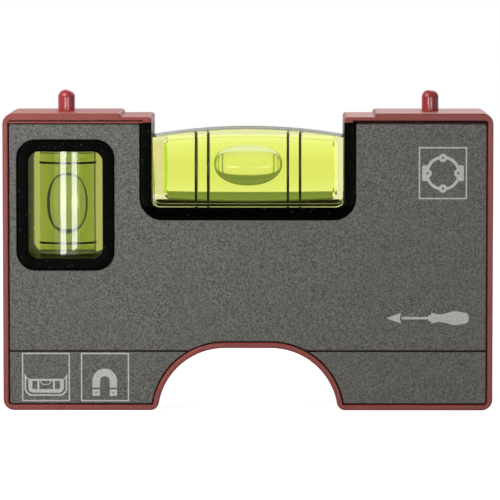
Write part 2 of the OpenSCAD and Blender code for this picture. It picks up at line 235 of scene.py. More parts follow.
# %% Soft boxes
def soft_box(name, azimuth, elevation, away, width, height, radiance, middle, gloss_only=False):
    """A lamp that faces a point above the base; from there it stands at these angles, in degrees."""
    lamp_data = bpy.data.lights.new(name, "AREA")
    lamp_data.shape = "RECTANGLE"
    lamp_data.size = width
    lamp_data.size_y = height
    lamp_data.energy = radiance * math.pi * width * height
    lamp = bpy.data.objects.new(name, lamp_data)
    side = toward(math.radians(azimuth), math.radians(elevation))
    lamp.location = side * away + Vector((0, 0, middle))
    lamp.rotation_euler = (-side).to_track_quat("-Z", "Y").to_euler()
    lamp.visible_camera = False
    lamp.visible_diffuse = not gloss_only
    lamp.visible_transmission = gloss_only
    bpy.context.scene.collection.objects.link(lamp)
    print("lamp", name, "at", [round(v, 3) for v in lamp.location])


STRIP_SIDE = 18.2
STRIP_HIGH = 50 * MM
KEY_SIZE = 120 * MM
BACK_SIZE = 250 * MM
LAMP_MIDDLE = 30 * MM
for name, azimuth, radiance in (("strip_left", -STRIP_SIDE, 15), ("strip_right", STRIP_SIDE, 13)):
    soft_box(name, azimuth, 0, away=350 * MM, width=112 * MM, height=STRIP_HIGH, radiance=radiance,
             middle=STRIP_HIGH / 2, gloss_only=True)
soft_box("soft_box_key", -44, 41, away=180 * MM, width=KEY_SIZE, height=KEY_SIZE, radiance=5.4,
         middle=LAMP_MIDDLE)
soft_box("soft_box_back", 160, 42, away=400 * MM, width=BACK_SIZE, height=BACK_SIZE, radiance=3.6,
         middle=LAMP_MIDDLE)

# %% [markdown]
# ## Finishes of the plastics
# The frame is red ABS from a mould: matt, with slight flow marks. The cover plates are grey ABS with a
# spark-eroded texture, a speckle of about a quarter millimetre that shows as colour and as relief. The
# vial surrounds are black ABS, smooth, with a few specks of dust, and near black unless a surface is seen
# at a grazing angle. The seat under the level vial is matt, as a glued seat is, so it mirrors nothing into
# the vial. The pins are a glossy acetal of a purer red. Each could be one flat colour, but a moulding never
# is: noise of the real grain size, in Object coordinates, varies colour, gloss and relief without a seam.

# %% Red and grey ABS
red_abs, tree = new_finish("moulded_red_abs")
flow = grain(tree, 3.5, detail=3.0)
pits = grain(tree, 0.18)
red = add(tree, "Mix", {0: (flow, 0), 6: colour("#973e35"), 7: colour("#9e443a")}, data_type="RGBA")
dull = add(tree, "MapRange", {"Value": (pits, 0), "To Min": 0.28, "To Max": 0.42})
relief = add(tree, "Bump", {"Strength": 0.35, "Distance": 0.02 * MM, "Height": (pits, 0)})
shell = add(tree, "BsdfPrincipled", {"Base Color": (red, 2), "Roughness": (dull, 0),
                                     "Specular IOR Level": 0.3, "Normal": (relief, 0)})
add(tree, "OutputMaterial", {"Surface": (shell, 0)})

grey_abs, tree = new_finish("spark_eroded_grey_abs")
speckle = grain(tree, 0.26, detail=3.0, low=0.30, high=0.70)
cloud = grain(tree, 6.0)
tone = add(tree, "Mix", {0: (speckle, 0), 6: colour("#2b2a27"), 7: colour("#918f87")}, data_type="RGBA")
grey = add(tree, "Mix", {0: (cloud, 0), 6: (tone, 2), 7: colour("#676661")}, data_type="RGBA")
grey_depth = add(tree, "Mix", {0: 0.25, 6: (tone, 2), 7: (grey, 2)}, data_type="RGBA")
relief = add(tree, "Bump", {"Strength": 0.5, "Distance": 0.03 * MM, "Height": (speckle, 0)})
shell = add(tree, "BsdfPrincipled", {"Base Color": (grey_depth, 2), "Roughness": 0.62,
                                     "Specular IOR Level": 0.35, "Normal": (relief, 0)})
add(tree, "OutputMaterial", {"Surface": (shell, 0)})
print("frame and plates:", red_abs.name, "and", grey_abs.name)

# %% Black ABS and red acetal
SEAT_TOP = 33.45 * MM
SEAT_FADE = 0.15 * MM


def smooth_black(name, polish, seat_top=None):
    """Black ABS of that roughness range; below seat_top it is matt, as a glued seat is."""
    material, tree = new_finish(name)
    haze = grain(tree, 1.2, detail=4.0)
    dust = grain(tree, 0.35, detail=0.0, low=0.80, high=0.86)
    black = add(tree, "Mix", {0: (dust, 0), 6: colour("#040403"), 7: colour("#4c4a46")}, data_type="RGBA")
    gloss = add(tree, "MapRange", {"Value": (haze, 0), "To Min": polish[0], "To Max": polish[1]})
    if seat_top is not None:
        height = add(tree, "SeparateXYZ", {0: (add(tree, "TexCoord"), "Object")})
        seat = add(tree, "MapRange", {"Value": (height, "Z"), "From Min": seat_top - SEAT_FADE,
                                      "From Max": seat_top + SEAT_FADE, "To Min": 1.0, "To Max": 0.0})
        gloss = add(tree, "Math", {0: (gloss, 0), 1: (seat, 0)}, operation="MAXIMUM")
    shell = add(tree, "BsdfPrincipled", {"Base Color": (black, 2), "Roughness": (gloss, 0),
                                         "Specular IOR Level": 0.015})
    add(tree, "OutputMaterial", {"Surface": (shell, 0)})
    return material


cradle_black = smooth_black("black_abs_with_matt_seat", (0.22, 0.34), SEAT_TOP)
sleeve_black = smooth_black("smooth_black_abs", (0.30, 0.42))

red_acetal, tree = new_finish("glossy_red_acetal")
swirl = grain(tree, 1.0, detail=3.0)
pin_red = add(tree, "Mix", {0: (swirl, 0), 6: colour("#a5292b"), 7: colour("#b43236")}, data_type="RGBA")
polish = add(tree, "MapRange", {"Value": (swirl, 0), "To Min": 0.16, "To Max": 0.24})
shell = add(tree, "BsdfPrincipled", {"Base Color": (pin_red, 2), "Roughness": (polish, 0)})
add(tree, "OutputMaterial", {"Surface": (shell, 0)})
print("surrounds and pins:", [m.name for m in (cradle_black, sleeve_black, red_acetal)])

# %% [markdown]
# ## Finishes of the vials
# A vial is clear acrylic with a barrel bore full of dyed spirit. What the eye sees is refraction: the
# acrylic bends light by 1.49, the spirit by 1.42, and the bubble turns the bending round. The spirit lies
# inside the acrylic, so its shader takes the ratio of both. The dye could tint the surface, but it belongs
# to the volume: a deep stretch is greener than a thin one. The plumb vial's acrylic is tinted deeper than
# the level vial's, and its spirit greener: that is painted shade, as if little light came through from
# behind.
# Both spirits also glow a little: painted light, an emission that shines under any lamp. In the level
# vial it stands for the dye's fluorescence; in the plumb vial it is pale blue-green. In the photograph
# the level block's face hardly mirrors the white ground, perhaps because the camera's side was dark. So
# its reflection is toned down to a yellow-green, a painted shade that plain acrylic hasn't.

# %% Acrylic, spirit and air
ACRYLIC_IOR = 1.49
SPIRIT_IOR = 1.42


def see_through(name, bending, roughness, density, kept, glow=0.0, shine="#c8e66a", mirror="#ffffff"):
    """Clear to the surface, and coloured by its depth; kept is the share of red, green and blue; glow is
    painted light in the colour shine.
    """
    material, tree = new_finish(name)
    ripple = grain(tree, 3.0, detail=1.0)
    relief = add(tree, "Bump", {"Strength": 0.1, "Distance": 0.01 * MM, "Height": (ripple, 0)})
    surface = add(tree, "BsdfPrincipled", {"Base Color": (1, 1, 1, 1), "Roughness": roughness,
                                           "IOR": bending, "Transmission Weight": 1.0,
                                           "Specular Tint": colour(mirror),
                                           "Emission Color": colour(shine), "Emission Strength": glow,
                                           "Normal": (relief, 0)})
    dye = add(tree, "VolumeAbsorption", {"Color": (*kept, 1), "Density": density})
    add(tree, "OutputMaterial", {"Surface": (surface, 0), "Volume": (dye, 0)})
    return material


spirit_in_acrylic = SPIRIT_IOR / ACRYLIC_IOR
level_clear = see_through("yellow_tinted_acrylic", ACRYLIC_IOR, 0.015, 80, (0.85, 0.85, 0.25),
                          mirror="#a8b164")
# the plumb vial's acrylic is tinted deeper and its spirit greener than the level vial's: painted shade, as
# if little light came through from behind
plumb_clear_with_painted_shade = see_through("olive_acrylic_darkened_as_painted_shade", ACRYLIC_IOR, 0.015, 350, (0.66, 0.69, 0.0))
# each spirit's glow is painted light, an emission that shines under any lamp
level_spirit = see_through("yellow_green_spirit", spirit_in_acrylic, 0.05, 140, (0.777, 0.787, 0.065),
                           glow=0.18)
plumb_spirit = see_through("greener_spirit_as_painted_shade", spirit_in_acrylic, 0.02, 25, (0.56, 1.0, 0.12), glow=0.05,
                           shine="#bcd8da")

air, tree = new_finish("air_in_spirit")
shell = add(tree, "BsdfGlass", {"Color": (1, 1, 1, 1), "Roughness": 0.13, "IOR": 1 / SPIRIT_IOR})
add(tree, "OutputMaterial", {"Surface": (shell, 0)})
print("spirit in acrylic bends light by", round(spirit_in_acrylic, 3))

# %% [markdown]
# ## Finishes of the small pieces
# The marking rings are black paint in grooves, a little uneven. The plugs are milky acrylic, which bends
# no light of its own here, because it is glued into the block. The magnets are nickel plated and brushed
# one way, with faint stains. The signs are white pad print that takes up the plate's texture. Each is one
# shader with a noise or two; the brush marks are a noise that is stretched along x.

# %% Paint, milky acrylic, nickel and ink
ring_paint, tree = new_finish("black_marking_paint")
coat = grain(tree, 0.3)
paint = add(tree, "Mix", {0: (coat, 0), 6: colour("#080a04"), 7: colour("#16190c")}, data_type="RGBA")
shell = add(tree, "BsdfPrincipled", {"Base Color": (paint, 2), "Roughness": 0.5})
add(tree, "OutputMaterial", {"Surface": (shell, 0)})

milky_acrylic, tree = new_finish("milky_acrylic")
milk = grain(tree, 1.5, detail=3.0)
cream = add(tree, "Mix", {0: (milk, 0), 6: colour("#f1ebbc"), 7: colour("#f8f4d4")}, data_type="RGBA")
shell = add(tree, "BsdfPrincipled", {"Base Color": (cream, 2), "Roughness": 0.12, "IOR": 1.0,
                                     "Transmission Weight": 1.0})
add(tree, "OutputMaterial", {"Surface": (shell, 0)})

# one brush mark is long in x and narrow in y, and coarser than a real one, so that it shows
BRUSH_MARK_MM = (2.5, 1 / 9, 0.25)
nickel, tree = new_finish("nickel_plate")
brush_place = add(tree, "TexCoord")
stretch = add(tree, "Mapping", {"Vector": (brush_place, "Object"),
                                "Scale": tuple(1 / (side * MM) for side in BRUSH_MARK_MM)})
brush = add(tree, "TexNoise", {"Vector": (stretch, 0), "Scale": 1.0, "Detail": 3.0})
stain = grain(tree, 1.8, detail=4.0)
metal = add(tree, "Mix", {0: (stain, 0), 6: colour("#c9c4ba"), 7: colour("#dcd8cf")}, data_type="RGBA")
worn = add(tree, "MapRange", {"Value": (brush, "Fac"), "To Min": 0.18, "To Max": 0.40})
shell = add(tree, "BsdfPrincipled", {"Base Color": (metal, 2), "Metallic": 1.0, "Roughness": (worn, 0)})
add(tree, "OutputMaterial", {"Surface": (shell, 0)})

sign_ink, tree = new_finish("white_pad_print")
cover = grain(tree, 0.30, detail=3.0)
ink = add(tree, "Mix", {0: (cover, 0), 6: colour("#cfcfc9"), 7: colour("#e4e4df")}, data_type="RGBA")
relief = add(tree, "Bump", {"Strength": 0.4, "Distance": 0.01 * MM, "Height": (cover, 0)})
shell = add(tree, "BsdfPrincipled", {"Base Color": (ink, 2), "Roughness": 0.55, "Normal": (relief, 0)})
add(tree, "OutputMaterial", {"Surface": (shell, 0)})
print(len(bpy.data.materials), "materials in all")

# %% [markdown]
# ## Drawing an outline
# Frame, plates, surrounds and vial blocks are all flat mouldings: one outline, pushed from the front to
# the back. An outline could be a list of computed points, but a designer thinks in corners and radii. So
# each corner is written as (x, z, radius), the pen runs straight between them, and a spin of the pen's
# vertex draws each round.

# %% Outline helper
ARC_STEP = math.radians(6)
ARC_STRIDE = 0.8 * MM
WELD = 0.0001 * MM


def trace(bm, corners, closed=True, plane=lambda x, z: Vector((x, 0, z))):
    """Draw corners (x, z, radius) as a run of edges, rounded by spins."""
    spots = [plane(x, z) for x, z, radius in corners]
    pen = first = None
    for i, (x, z, radius) in enumerate(corners):
        here = spots[i]
        at_end = not closed and i in (0, len(corners) - 1)
        round_it = radius > 0 and not at_end
        if round_it:
            back = (spots[i - 1] - here).normalized()
            ahead = (spots[(i + 1) % len(spots)] - here).normalized()
            opening = back.angle(ahead)
            start = here + back * radius / math.tan(opening / 2)
            centre = here + (back + ahead).normalized() * radius / math.sin(opening / 2)
        else:
            start = here
        if pen is None or (start - pen.co).length > WELD:
            fresh = bm.verts.new(start)
            if pen is not None:
                bm.edges.new((pen, fresh))
            pen = fresh
        if first is None:
            first = pen
        if round_it:
            turn = math.pi - opening
            steps = max(2, math.ceil(turn / ARC_STEP), math.ceil(radius * turn / ARC_STRIDE))
            arc = bmesh.ops.spin(bm, geom=[pen], cent=centre, axis=ahead.cross(back).normalized(),
                                 angle=turn, steps=steps, use_duplicate=False)
            pen = [part for part in arc["geom_last"] if isinstance(part, bmesh.types.BMVert)][0]
    if closed:
        bm.edges.new((pen, first))


print("an outline round takes a vertex every", round(math.degrees(ARC_STEP), 1), "degrees or less")

# %% Rectangle and mirror helpers
def rounded_rectangle(low_x, high_x, low_z, high_z, radius):
    """The four corners of an upright rectangle with equal rounds."""
    return [(low_x, low_z, radius), (high_x, low_z, radius), (high_x, high_z, radius),
            (low_x, high_z, radius)]


def mirrored(corners):
    """The same corners on the other side, in the order that goes on round the outline."""
    return [(-x, z, radius) for x, z, radius in reversed(corners)]


print("rectangle and mirror helpers ready")

# %% [markdown]
# ## Turning an outline into a moulding
# The outline is filled, extruded through the thickness and its edges are rounded, as a mould's edges
# always are: a razor-sharp edge catches no light and looks drawn. A bevel operator on the two rims of the
# extrusion does that. Weighted normals then keep the large faces flat to the eye.

# %% Moulding helper
RIM_ANGLE = math.radians(45)


def moulding(loops, front, back, front_round=0.0, back_round=0.0, segments=3):
    """Fill the loops, extrude them from front to back and round the edges of both faces."""
    bm = bmesh.new()
    for corners in loops:
        trace(bm, corners)
    bmesh.ops.remove_doubles(bm, verts=bm.verts[:], dist=WELD)
    bmesh.ops.translate(bm, verts=bm.verts[:], vec=(0, back, 0))
    bmesh.ops.triangle_fill(bm, edges=bm.edges[:], use_beauty=True, use_dissolve=False)
    grown = bmesh.ops.extrude_face_region(bm, geom=bm.faces[:])
    moved = [part for part in grown["geom"] if isinstance(part, bmesh.types.BMVert)]
    bmesh.ops.translate(bm, verts=moved, vec=(0, front - back, 0))
    bmesh.ops.recalc_face_normals(bm, faces=bm.faces[:])
    for depth, radius in ((front, front_round), (back, back_round)):
        if radius <= 0:
            continue
        rim = [edge for edge in bm.edges
               if all(abs(v.co.y - depth) < WELD for v in edge.verts)
               and edge.calc_face_angle(0) > RIM_ANGLE]
        bmesh.ops.bevel(bm, geom=rim, offset=radius, offset_type="OFFSET", segments=segments,
                        profile=0.5, affect="EDGES", material=-1)
    return bm


print("a moulding rounds edges that turn by more than", round(math.degrees(RIM_ANGLE)), "degrees")

# %% Piece helper
SHARP_OVER = math.radians(40)


def piece(name, bm, material, replaced=(), body="housing"):
    """Make the finished object: it rides on its body and stands for the CAD nodes it replaces."""
    mesh = bpy.data.meshes.new(name)
    volume = bm.calc_volume(signed=True) / MM ** 3
    bm.to_mesh(mesh)
    bm.free()
    mesh.shade_smooth()
    mesh.set_sharp_from_angle(angle=SHARP_OVER)
    mesh.materials.append(material)
    made = bpy.data.objects.new(name, mesh)
    bpy.context.scene.collection.objects.link(made)
    even = made.modifiers.new("even_shading", "WEIGHTED_NORMAL")
    even.keep_sharp = True
    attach(made, body)
    if replaced:
        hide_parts(*replaced)
    print(name, "on", body, len(mesh.polygons), "faces,", round(volume, 1), "cubic mm")
    return made


print("piece helper ready")

# %% [markdown]
# ## Joining and cutting
# Some mouldings are one outline on another: a pocket in a foot, a lip on a cradle. Their faces could be
# stitched by hand, but a Boolean modifier does that without gaps. It works on objects, so each bmesh
# becomes a plain helper object for a moment, and comes back as a bmesh.

# %% Boolean helpers
def plain_object(name, bm):
    """An object for a Boolean only, which isn't a piece of the level."""
    mesh = bpy.data.meshes.new(name)
    bm.to_mesh(mesh)
    bm.free()
    made = bpy.data.objects.new(name, mesh)
    bpy.context.scene.collection.objects.link(made)
    return made


def combine(target, tool, operation):
    """Apply one exact Boolean to the target's mesh, and delete the tool."""
    step = target.modifiers.new(operation, "BOOLEAN")
    step.object = tool
    step.operation = operation
    step.solver = "EXACT"
    shaped = target.evaluated_get(bpy.context.evaluated_depsgraph_get())
    target.data = bpy.data.meshes.new_from_object(shaped)
    target.modifiers.clear()
    bpy.data.objects.remove(tool)


def released(made):
    """The bmesh of a helper object, which is then deleted."""
    bm = bmesh.new()
    bm.from_mesh(made.data)
    bpy.data.objects.remove(made)
    return bm


def merged(first, second, operation):
    """One bmesh from two solids that overlap: both of them, or what they share."""
    whole = plain_object("whole", first)
    combine(whole, plain_object("second", second), operation)
    bm = released(whole)
    bmesh.ops.remove_doubles(bm, verts=bm.verts[:], dist=WELD)
    return bm


print("Boolean helpers ready")

# %% [markdown]
# ## The frame
# The red frame shows as a thin rim round the plates: rails at the top, slightly higher pads under the
# pins, the end walls and the base with its arch between the feet. The rim is one C-shaped band, open at
# the level vial; a core behind the plates ties it together. Band and core are drawn as two mouldings and
# joined by a Boolean, and two more cuts sink the pockets of the magnets into the feet. Under the rim of
# the rails and pads runs a fine ledge, parted from it by a hairline gap that shows as a dark line. Known
# fault: the union loses the ledge at the front right, and the frame's mesh is open there.

# %% Main places
frame_low, frame_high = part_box("frame")
plate_low, plate_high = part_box("front_plate")
cradle_low, cradle_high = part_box("level_vial_cradle")
level_low, level_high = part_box("level_vial_block")
sleeve_low, sleeve_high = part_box("plumb_vial_sleeve")
plumb_low, plumb_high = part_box("plumb_vial_block")

RIM = 0.9 * MM
STEP_X = 20.7 * MM
RAIL_DROP = 0.6 * MM
PAD_END_ROUND = 1.8 * MM
BASE_END_ROUND = 1.8 * MM
RAIL_END_ROUND = 0.55 * MM
STEP_ROUND = 0.5 * MM
EDGE_ROUND = 0.2 * MM
LEDGE = 0.24 * MM
LEDGE_LINE = 0.12 * MM
LEDGE_BACK = 0.04 * MM
LEDGE_STOP = 1.5 * MM
FIT = 0.1 * MM
PLATE_CORNER = 0.3 * MM

half_w = frame_high.x
pad_top = frame_high.z
rail_top = pad_top - RAIL_DROP
plate_gap = plate_low.x + half_w - RIM
inner_x = half_w - RIM
inner_round = PLATE_CORNER + plate_gap
inner_top = plate_high.z + plate_gap
band_top = inner_top + LEDGE + LEDGE_LINE
notch_x = level_high.x + FIT
ledge_x = notch_x + LEDGE_STOP
print("plate gap in mm:", round(plate_gap / MM, 3), "rails end at", round(notch_x / MM, 2))

# %% Arch helpers
ARCH_TOP = 10.2 * MM
ARCH_ROUND = 11.0 * MM
ARCH_X = 3.75 * MM
FOOT_ROUND = 1.4 * MM
ARCH_Z = ARCH_TOP - ARCH_ROUND


def arch_x(radius, z):
    """How far out an arc about the arch's centre reaches at that height."""
    return ARCH_X + math.sqrt(radius ** 2 - (z - ARCH_Z) ** 2)


def arch_corner(radius, low_z, high_z):
    """The corner, with its radius, whose round is the arc between two heights."""
    low = math.asin((low_z - ARCH_Z) / radius)
    high = math.asin(min(1.0, (high_z - ARCH_Z) / radius))
    reach = radius / math.cos((high - low) / 2)
    middle = (low + high) / 2
    return ARCH_X + reach * math.cos(middle), ARCH_Z + reach * math.sin(middle), radius


def arch_line(margin, low_z):
    """Right half of the arch, a margin inside the plastic, from low_z up to the flat crown."""
    radius = ARCH_ROUND + margin
    return [(arch_x(radius, low_z), low_z, 0), arch_corner(radius, low_z, ARCH_Z + radius)]


# the rounded tip of a foot touches the arch where the line between both centres crosses it
foot_lift = math.asin((FOOT_ROUND - ARCH_Z) / (ARCH_ROUND + FOOT_ROUND))
touch_z = ARCH_Z + ARCH_ROUND * math.sin(foot_lift)
touch_x = ARCH_X + ARCH_ROUND * math.cos(foot_lift)
foot_tip = (touch_x + touch_z * math.tan(foot_lift), 0, FOOT_ROUND)
print("the arch is", round(2 * foot_tip[0] / MM, 2), "mm wide at the base")

# %% Frame band
right_outside = [(notch_x, rail_top, RAIL_END_ROUND), (STEP_X, rail_top, 0),
                 (STEP_X, pad_top, STEP_ROUND), (half_w, pad_top, PAD_END_ROUND),
                 (half_w, 0, BASE_END_ROUND), foot_tip, arch_corner(ARCH_ROUND, touch_z, ARCH_TOP)]
right_inside = [*reversed(arch_line(RIM, RIM)), (inner_x, RIM, inner_round),
                (inner_x, band_top, inner_round), (ledge_x, band_top, 0), (ledge_x, inner_top, 0),
                (notch_x, inner_top, 0)]
band_outline = right_outside + mirrored(right_outside) + mirrored(right_inside) + right_inside
band = moulding([band_outline], frame_low.y, frame_high.y, EDGE_ROUND, EDGE_ROUND, segments=4)
print("band:", len(band.faces), "faces")

# %% Frame core
CORE_OVERLAP = 0.05 * MM
CRADLE_ROUND = 3.6 * MM
SLEEVE_ROUND = 3.0 * MM

core_low = RIM - CORE_OVERLAP
core_x = inner_x + CORE_OVERLAP
core_top = band_top + CORE_OVERLAP
pocket_x = cradle_high.x + FIT
pocket_z = cradle_low.z - FIT
pocket_round = CRADLE_ROUND + FIT
right_core = [(pocket_x, pocket_z, pocket_round), (pocket_x, core_top, 0), (core_x, core_top, inner_round),
              (core_x, core_low, inner_round), *arch_line(core_low, core_low)]
sleeve_hole = rounded_rectangle(sleeve_low.x - FIT, sleeve_high.x + FIT, sleeve_low.z - FIT,
                                sleeve_high.z + FIT, SLEEVE_ROUND + FIT)
plate_back = plate_high.y
core = moulding([right_core + mirrored(right_core), sleeve_hole], plate_back, -plate_back)
frame_body = plain_object("frame_body", band)
combine(frame_body, plain_object("core", core), "UNION")
print("band and core:", len(frame_body.data.polygons), "faces")

# %% Magnet pockets and ledges
POCKET_PLAY = 0.05 * MM
POCKET_STEPS = 96
for magnet in ("magnet_left", "magnet_right"):
    magnet_low, magnet_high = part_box(magnet)
    pocket = bmesh.new()
    radius = (magnet_high.x - magnet_low.x) / 2 + POCKET_PLAY
    depth = 2 * (magnet_high.z + POCKET_PLAY)
    on_base = Matrix.Translation(((magnet_low.x + magnet_high.x) / 2, 0, 0))
    bmesh.ops.create_cone(pocket, cap_ends=True, segments=POCKET_STEPS, radius1=radius, radius2=radius,
                          depth=depth, matrix=on_base)
    combine(frame_body, plain_object("pocket", pocket), "DIFFERENCE")

right_ledge = rounded_rectangle(ledge_x - CORE_OVERLAP, core_x, inner_top, inner_top + LEDGE, 0)
ledge_front = frame_low.y + LEDGE_BACK
ledge_end = plate_back + CORE_OVERLAP
for corners in (right_ledge, mirrored(right_ledge)):
    for front, back in ((ledge_front, ledge_end), (-ledge_end, -ledge_front)):
        combine(frame_body, plain_object("ledge", moulding([corners], front, back)), "UNION")
frame_bm = released(frame_body)
bmesh.ops.remove_doubles(frame_bm, verts=frame_bm.verts[:], dist=WELD)
piece("frame_moulding", frame_bm, red_abs, ["frame"])

# %% [markdown]
# ## The cover plates
# Grey plates lie in the rim on both faces, 0.2 mm below it, split by a seam above the feet. The gap round
# them is what draws the thin dark line in the photograph. The upper plate is cut out for the level vial's
# cradle and pierced for the plumb vial, the foot plates end in the arch's curve with a sharp tip. The hole
# could be cut by a Boolean, but the fill leaves out an inner outline by itself, so a moulding does it all.

# %% Cover plates
PLATE_EDGE = 0.12 * MM
foot_low, foot_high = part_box("front_foot_plate_right")
arch_margin = RIM + plate_gap
arch_radius = ARCH_ROUND + arch_margin
plate_x = plate_high.x
right_plate = [(pocket_x, pocket_z, pocket_round), (pocket_x, plate_high.z, 0),
               (plate_x, plate_high.z, PLATE_CORNER), (plate_x, plate_low.z, 0),
               *arch_line(arch_margin, plate_low.z)]
foot_plate = [(arch_x(arch_radius, foot_low.z), foot_low.z, 0),
              (plate_x, foot_low.z, PLATE_CORNER), (plate_x, foot_high.z, 0),
              (arch_x(arch_radius, foot_high.z), foot_high.z, 0),
              arch_corner(arch_radius, foot_low.z, foot_high.z)]
for side in ("front", "rear"):
    low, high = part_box(side + "_plate")
    rounds = (PLATE_EDGE, 0) if side == "front" else (0, PLATE_EDGE)
    upper = moulding([right_plate + mirrored(right_plate), sleeve_hole], low.y, high.y, *rounds)
    piece(side + "_cover_plate", upper, grey_abs, [side + "_plate"])
    for hand, corners in (("left", mirrored(foot_plate)), ("right", foot_plate)):
        foot = moulding([corners], low.y, high.y, *rounds)
        piece(f"{side}_foot_cover_{hand}", foot, grey_abs, [f"{side}_foot_plate_{hand}"])

# %% [markdown]
# ## The black surrounds
# The level vial lies in a black U that opens at the top edge, and the plumb vial in a black rectangular
# sleeve. Both run through from face to face and stand flush with the red rim, with a softly rounded edge
# that carries a hairline of light. A low lip at the back of the U stops the level vial; it is a moulding
# of its own, joined to the U.

# %% Cradle and sleeve
SURROUND_EDGE = 0.25 * MM
LEVEL_BASE_CORNER = 1.2 * MM
PLUMB_CORNER = 1.6 * MM
LIP_FRONT = 8.2 * MM
LIP_SINK = 0.3 * MM
LIP_TALL = 0.5 * MM
right_cradle = [(cradle_high.x, cradle_low.z, CRADLE_ROUND), (cradle_high.x, cradle_high.z, 0),
                (notch_x, cradle_high.z, 0), (notch_x, level_low.z - FIT, LEVEL_BASE_CORNER + FIT)]
cradle = moulding([right_cradle + mirrored(right_cradle)], cradle_low.y, cradle_high.y, SURROUND_EDGE,
                  SURROUND_EDGE)
lip_outline = rounded_rectangle(-notch_x - LIP_SINK, notch_x + LIP_SINK, level_low.z - LIP_SINK,
                                level_low.z + LIP_TALL, 0)
lip = moulding([lip_outline], LIP_FRONT, cradle_high.y - SURROUND_EDGE)
piece("level_cradle", merged(cradle, lip, "UNION"), cradle_black, ["level_vial_cradle"])

sleeve_out = rounded_rectangle(sleeve_low.x, sleeve_high.x, sleeve_low.z, sleeve_high.z, SLEEVE_ROUND)
sleeve_in = rounded_rectangle(plumb_low.x - FIT, plumb_high.x + FIT, plumb_low.z - FIT,
                              plumb_high.z + FIT, PLUMB_CORNER + FIT)
sleeve = moulding([sleeve_out, sleeve_in], sleeve_low.y, sleeve_high.y, SURROUND_EDGE, SURROUND_EDGE)
piece("plumb_sleeve", sleeve, sleeve_black, ["plumb_vial_sleeve"])

# %% [markdown]
# ## The vials
# Each vial is a piece of acrylic with a barrel-shaped bore, wider in the middle so that the bubble rises
# to the centre. The bore could be cut into the acrylic, but then acrylic and spirit would have two walls
# in one place. So the acrylic stays solid and the spirit lies inside it: a profile of a few corners, spun
# round the vial's axis. The level vial is a block with an arched top, sunk a hair into its seat as if
# bonded. The plumb vial is a round rod with a flat flange at each side, which shows as a bright strip to
# the left and the right of the bore; a prism of that section and the rounded block share its shape.

# %% Barrel helper
BARREL_STEPS = 72


def barrel(axis_spot, axis, low, high, mid_radius, curve, chamfer):
    """Spin a barrel's profile round its axis; low and high are its ends along the axis."""
    across = Vector((0, -1, 0))
    reach = min(-low, high) - chamfer
    shoulder = mid_radius - curve + math.sqrt(curve ** 2 - reach ** 2)
    peak = shoulder + reach * math.tan(math.asin(reach / curve))
    profile = [(low, 0, 0), (low, shoulder - chamfer, 0), (-reach, shoulder, 0), (0, peak, curve),
               (reach, shoulder, 0), (high - chamfer, shoulder, 0), (high, shoulder - chamfer, 0),
               (high, 0, 0)]
    bm = bmesh.new()
    trace(bm, profile, closed=False, plane=lambda along, out: axis_spot + axis * along + across * out)
    bmesh.ops.spin(bm, geom=bm.verts[:] + bm.edges[:], cent=axis_spot, axis=axis,
                   angle=2 * math.pi, steps=BARREL_STEPS, use_merge=True, use_duplicate=False)
    bmesh.ops.remove_doubles(bm, verts=bm.verts[:], dist=WELD)
    bmesh.ops.recalc_face_normals(bm, faces=bm.faces[:])
    return bm


print("a barrel has", BARREL_STEPS, "faces round its axis")

# %% Level vial
LEVEL_BORE = 5.6 * MM
LEVEL_CURVE = 230 * MM
LEVEL_BORE_ENDS = (-13.9 * MM, 14.6 * MM)
LEVEL_END_TOP = 44.55 * MM
LEVEL_CHAMFER = 0.7 * MM
LEVEL_EDGE = 0.15 * MM
LEVEL_DEPTH_HALF = 7.0 * MM
GLUE_SINK = 0.12 * MM
level_ring_low, level_ring_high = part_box("level_vial_ring_left_outer")
level_axis = Vector((0, 0, (level_ring_low.z + level_ring_high.z) / 2))
level_half = level_high.x
level_base = level_low.z - GLUE_SINK
crown_rise = level_high.z - LEVEL_END_TOP
crown_round = (level_half ** 2 + crown_rise ** 2) / (2 * crown_rise)
crown_peak = LEVEL_END_TOP + level_half * math.tan(math.asin(level_half / crown_round))
level_outline = [(-level_half, level_base, LEVEL_BASE_CORNER), (level_half, level_base, LEVEL_BASE_CORNER),
                 (level_half, LEVEL_END_TOP, 0), (0, crown_peak, crown_round),
                 (-level_half, LEVEL_END_TOP, 0)]
level_block = moulding([level_outline], -LEVEL_DEPTH_HALF, LEVEL_DEPTH_HALF, LEVEL_EDGE, LEVEL_EDGE)
piece("level_acrylic", level_block, level_clear, ["level_vial_block"])
level_fill = barrel(level_axis, Vector((1, 0, 0)), *LEVEL_BORE_ENDS, LEVEL_BORE, LEVEL_CURVE,
                    LEVEL_CHAMFER)
piece("level_spirit", level_fill, level_spirit, ["level_vial_liquid"],
      body="level_liquid")

# %% Plumb vial
PLUMB_BORE = 4.55 * MM
PLUMB_CURVE = 150 * MM
PLUMB_BORE_ENDS = (-8.4 * MM, 8.4 * MM)
PLUMB_CHAMFER = 0.3 * MM
ROD_ROUND = 5.8 * MM
FLANGE_HALF = 3.7 * MM
plumb_axis = Vector(((plumb_low.x + plumb_high.x) / 2, 0, (plumb_low.z + plumb_high.z) / 2))
plumb_outline = rounded_rectangle(plumb_low.x - GLUE_SINK, plumb_high.x + GLUE_SINK,
                                  plumb_low.z - GLUE_SINK, plumb_high.z + GLUE_SINK, PLUMB_CORNER)
flange_x = plumb_high.x - plumb_axis.x + GLUE_SINK
rod_half = math.sqrt(ROD_ROUND ** 2 - FLANGE_HALF ** 2)
rod_peak = ROD_ROUND / math.cos(math.asin(rod_half / ROD_ROUND))
front_half = [(-flange_x, -FLANGE_HALF, 0), (-rod_half, -FLANGE_HALF, 0), (0, -rod_peak, ROD_ROUND),
              (rod_half, -FLANGE_HALF, 0), (flange_x, -FLANGE_HALF, 0)]
plumb_section = front_half + [(-x, -y, radius) for x, y, radius in front_half]
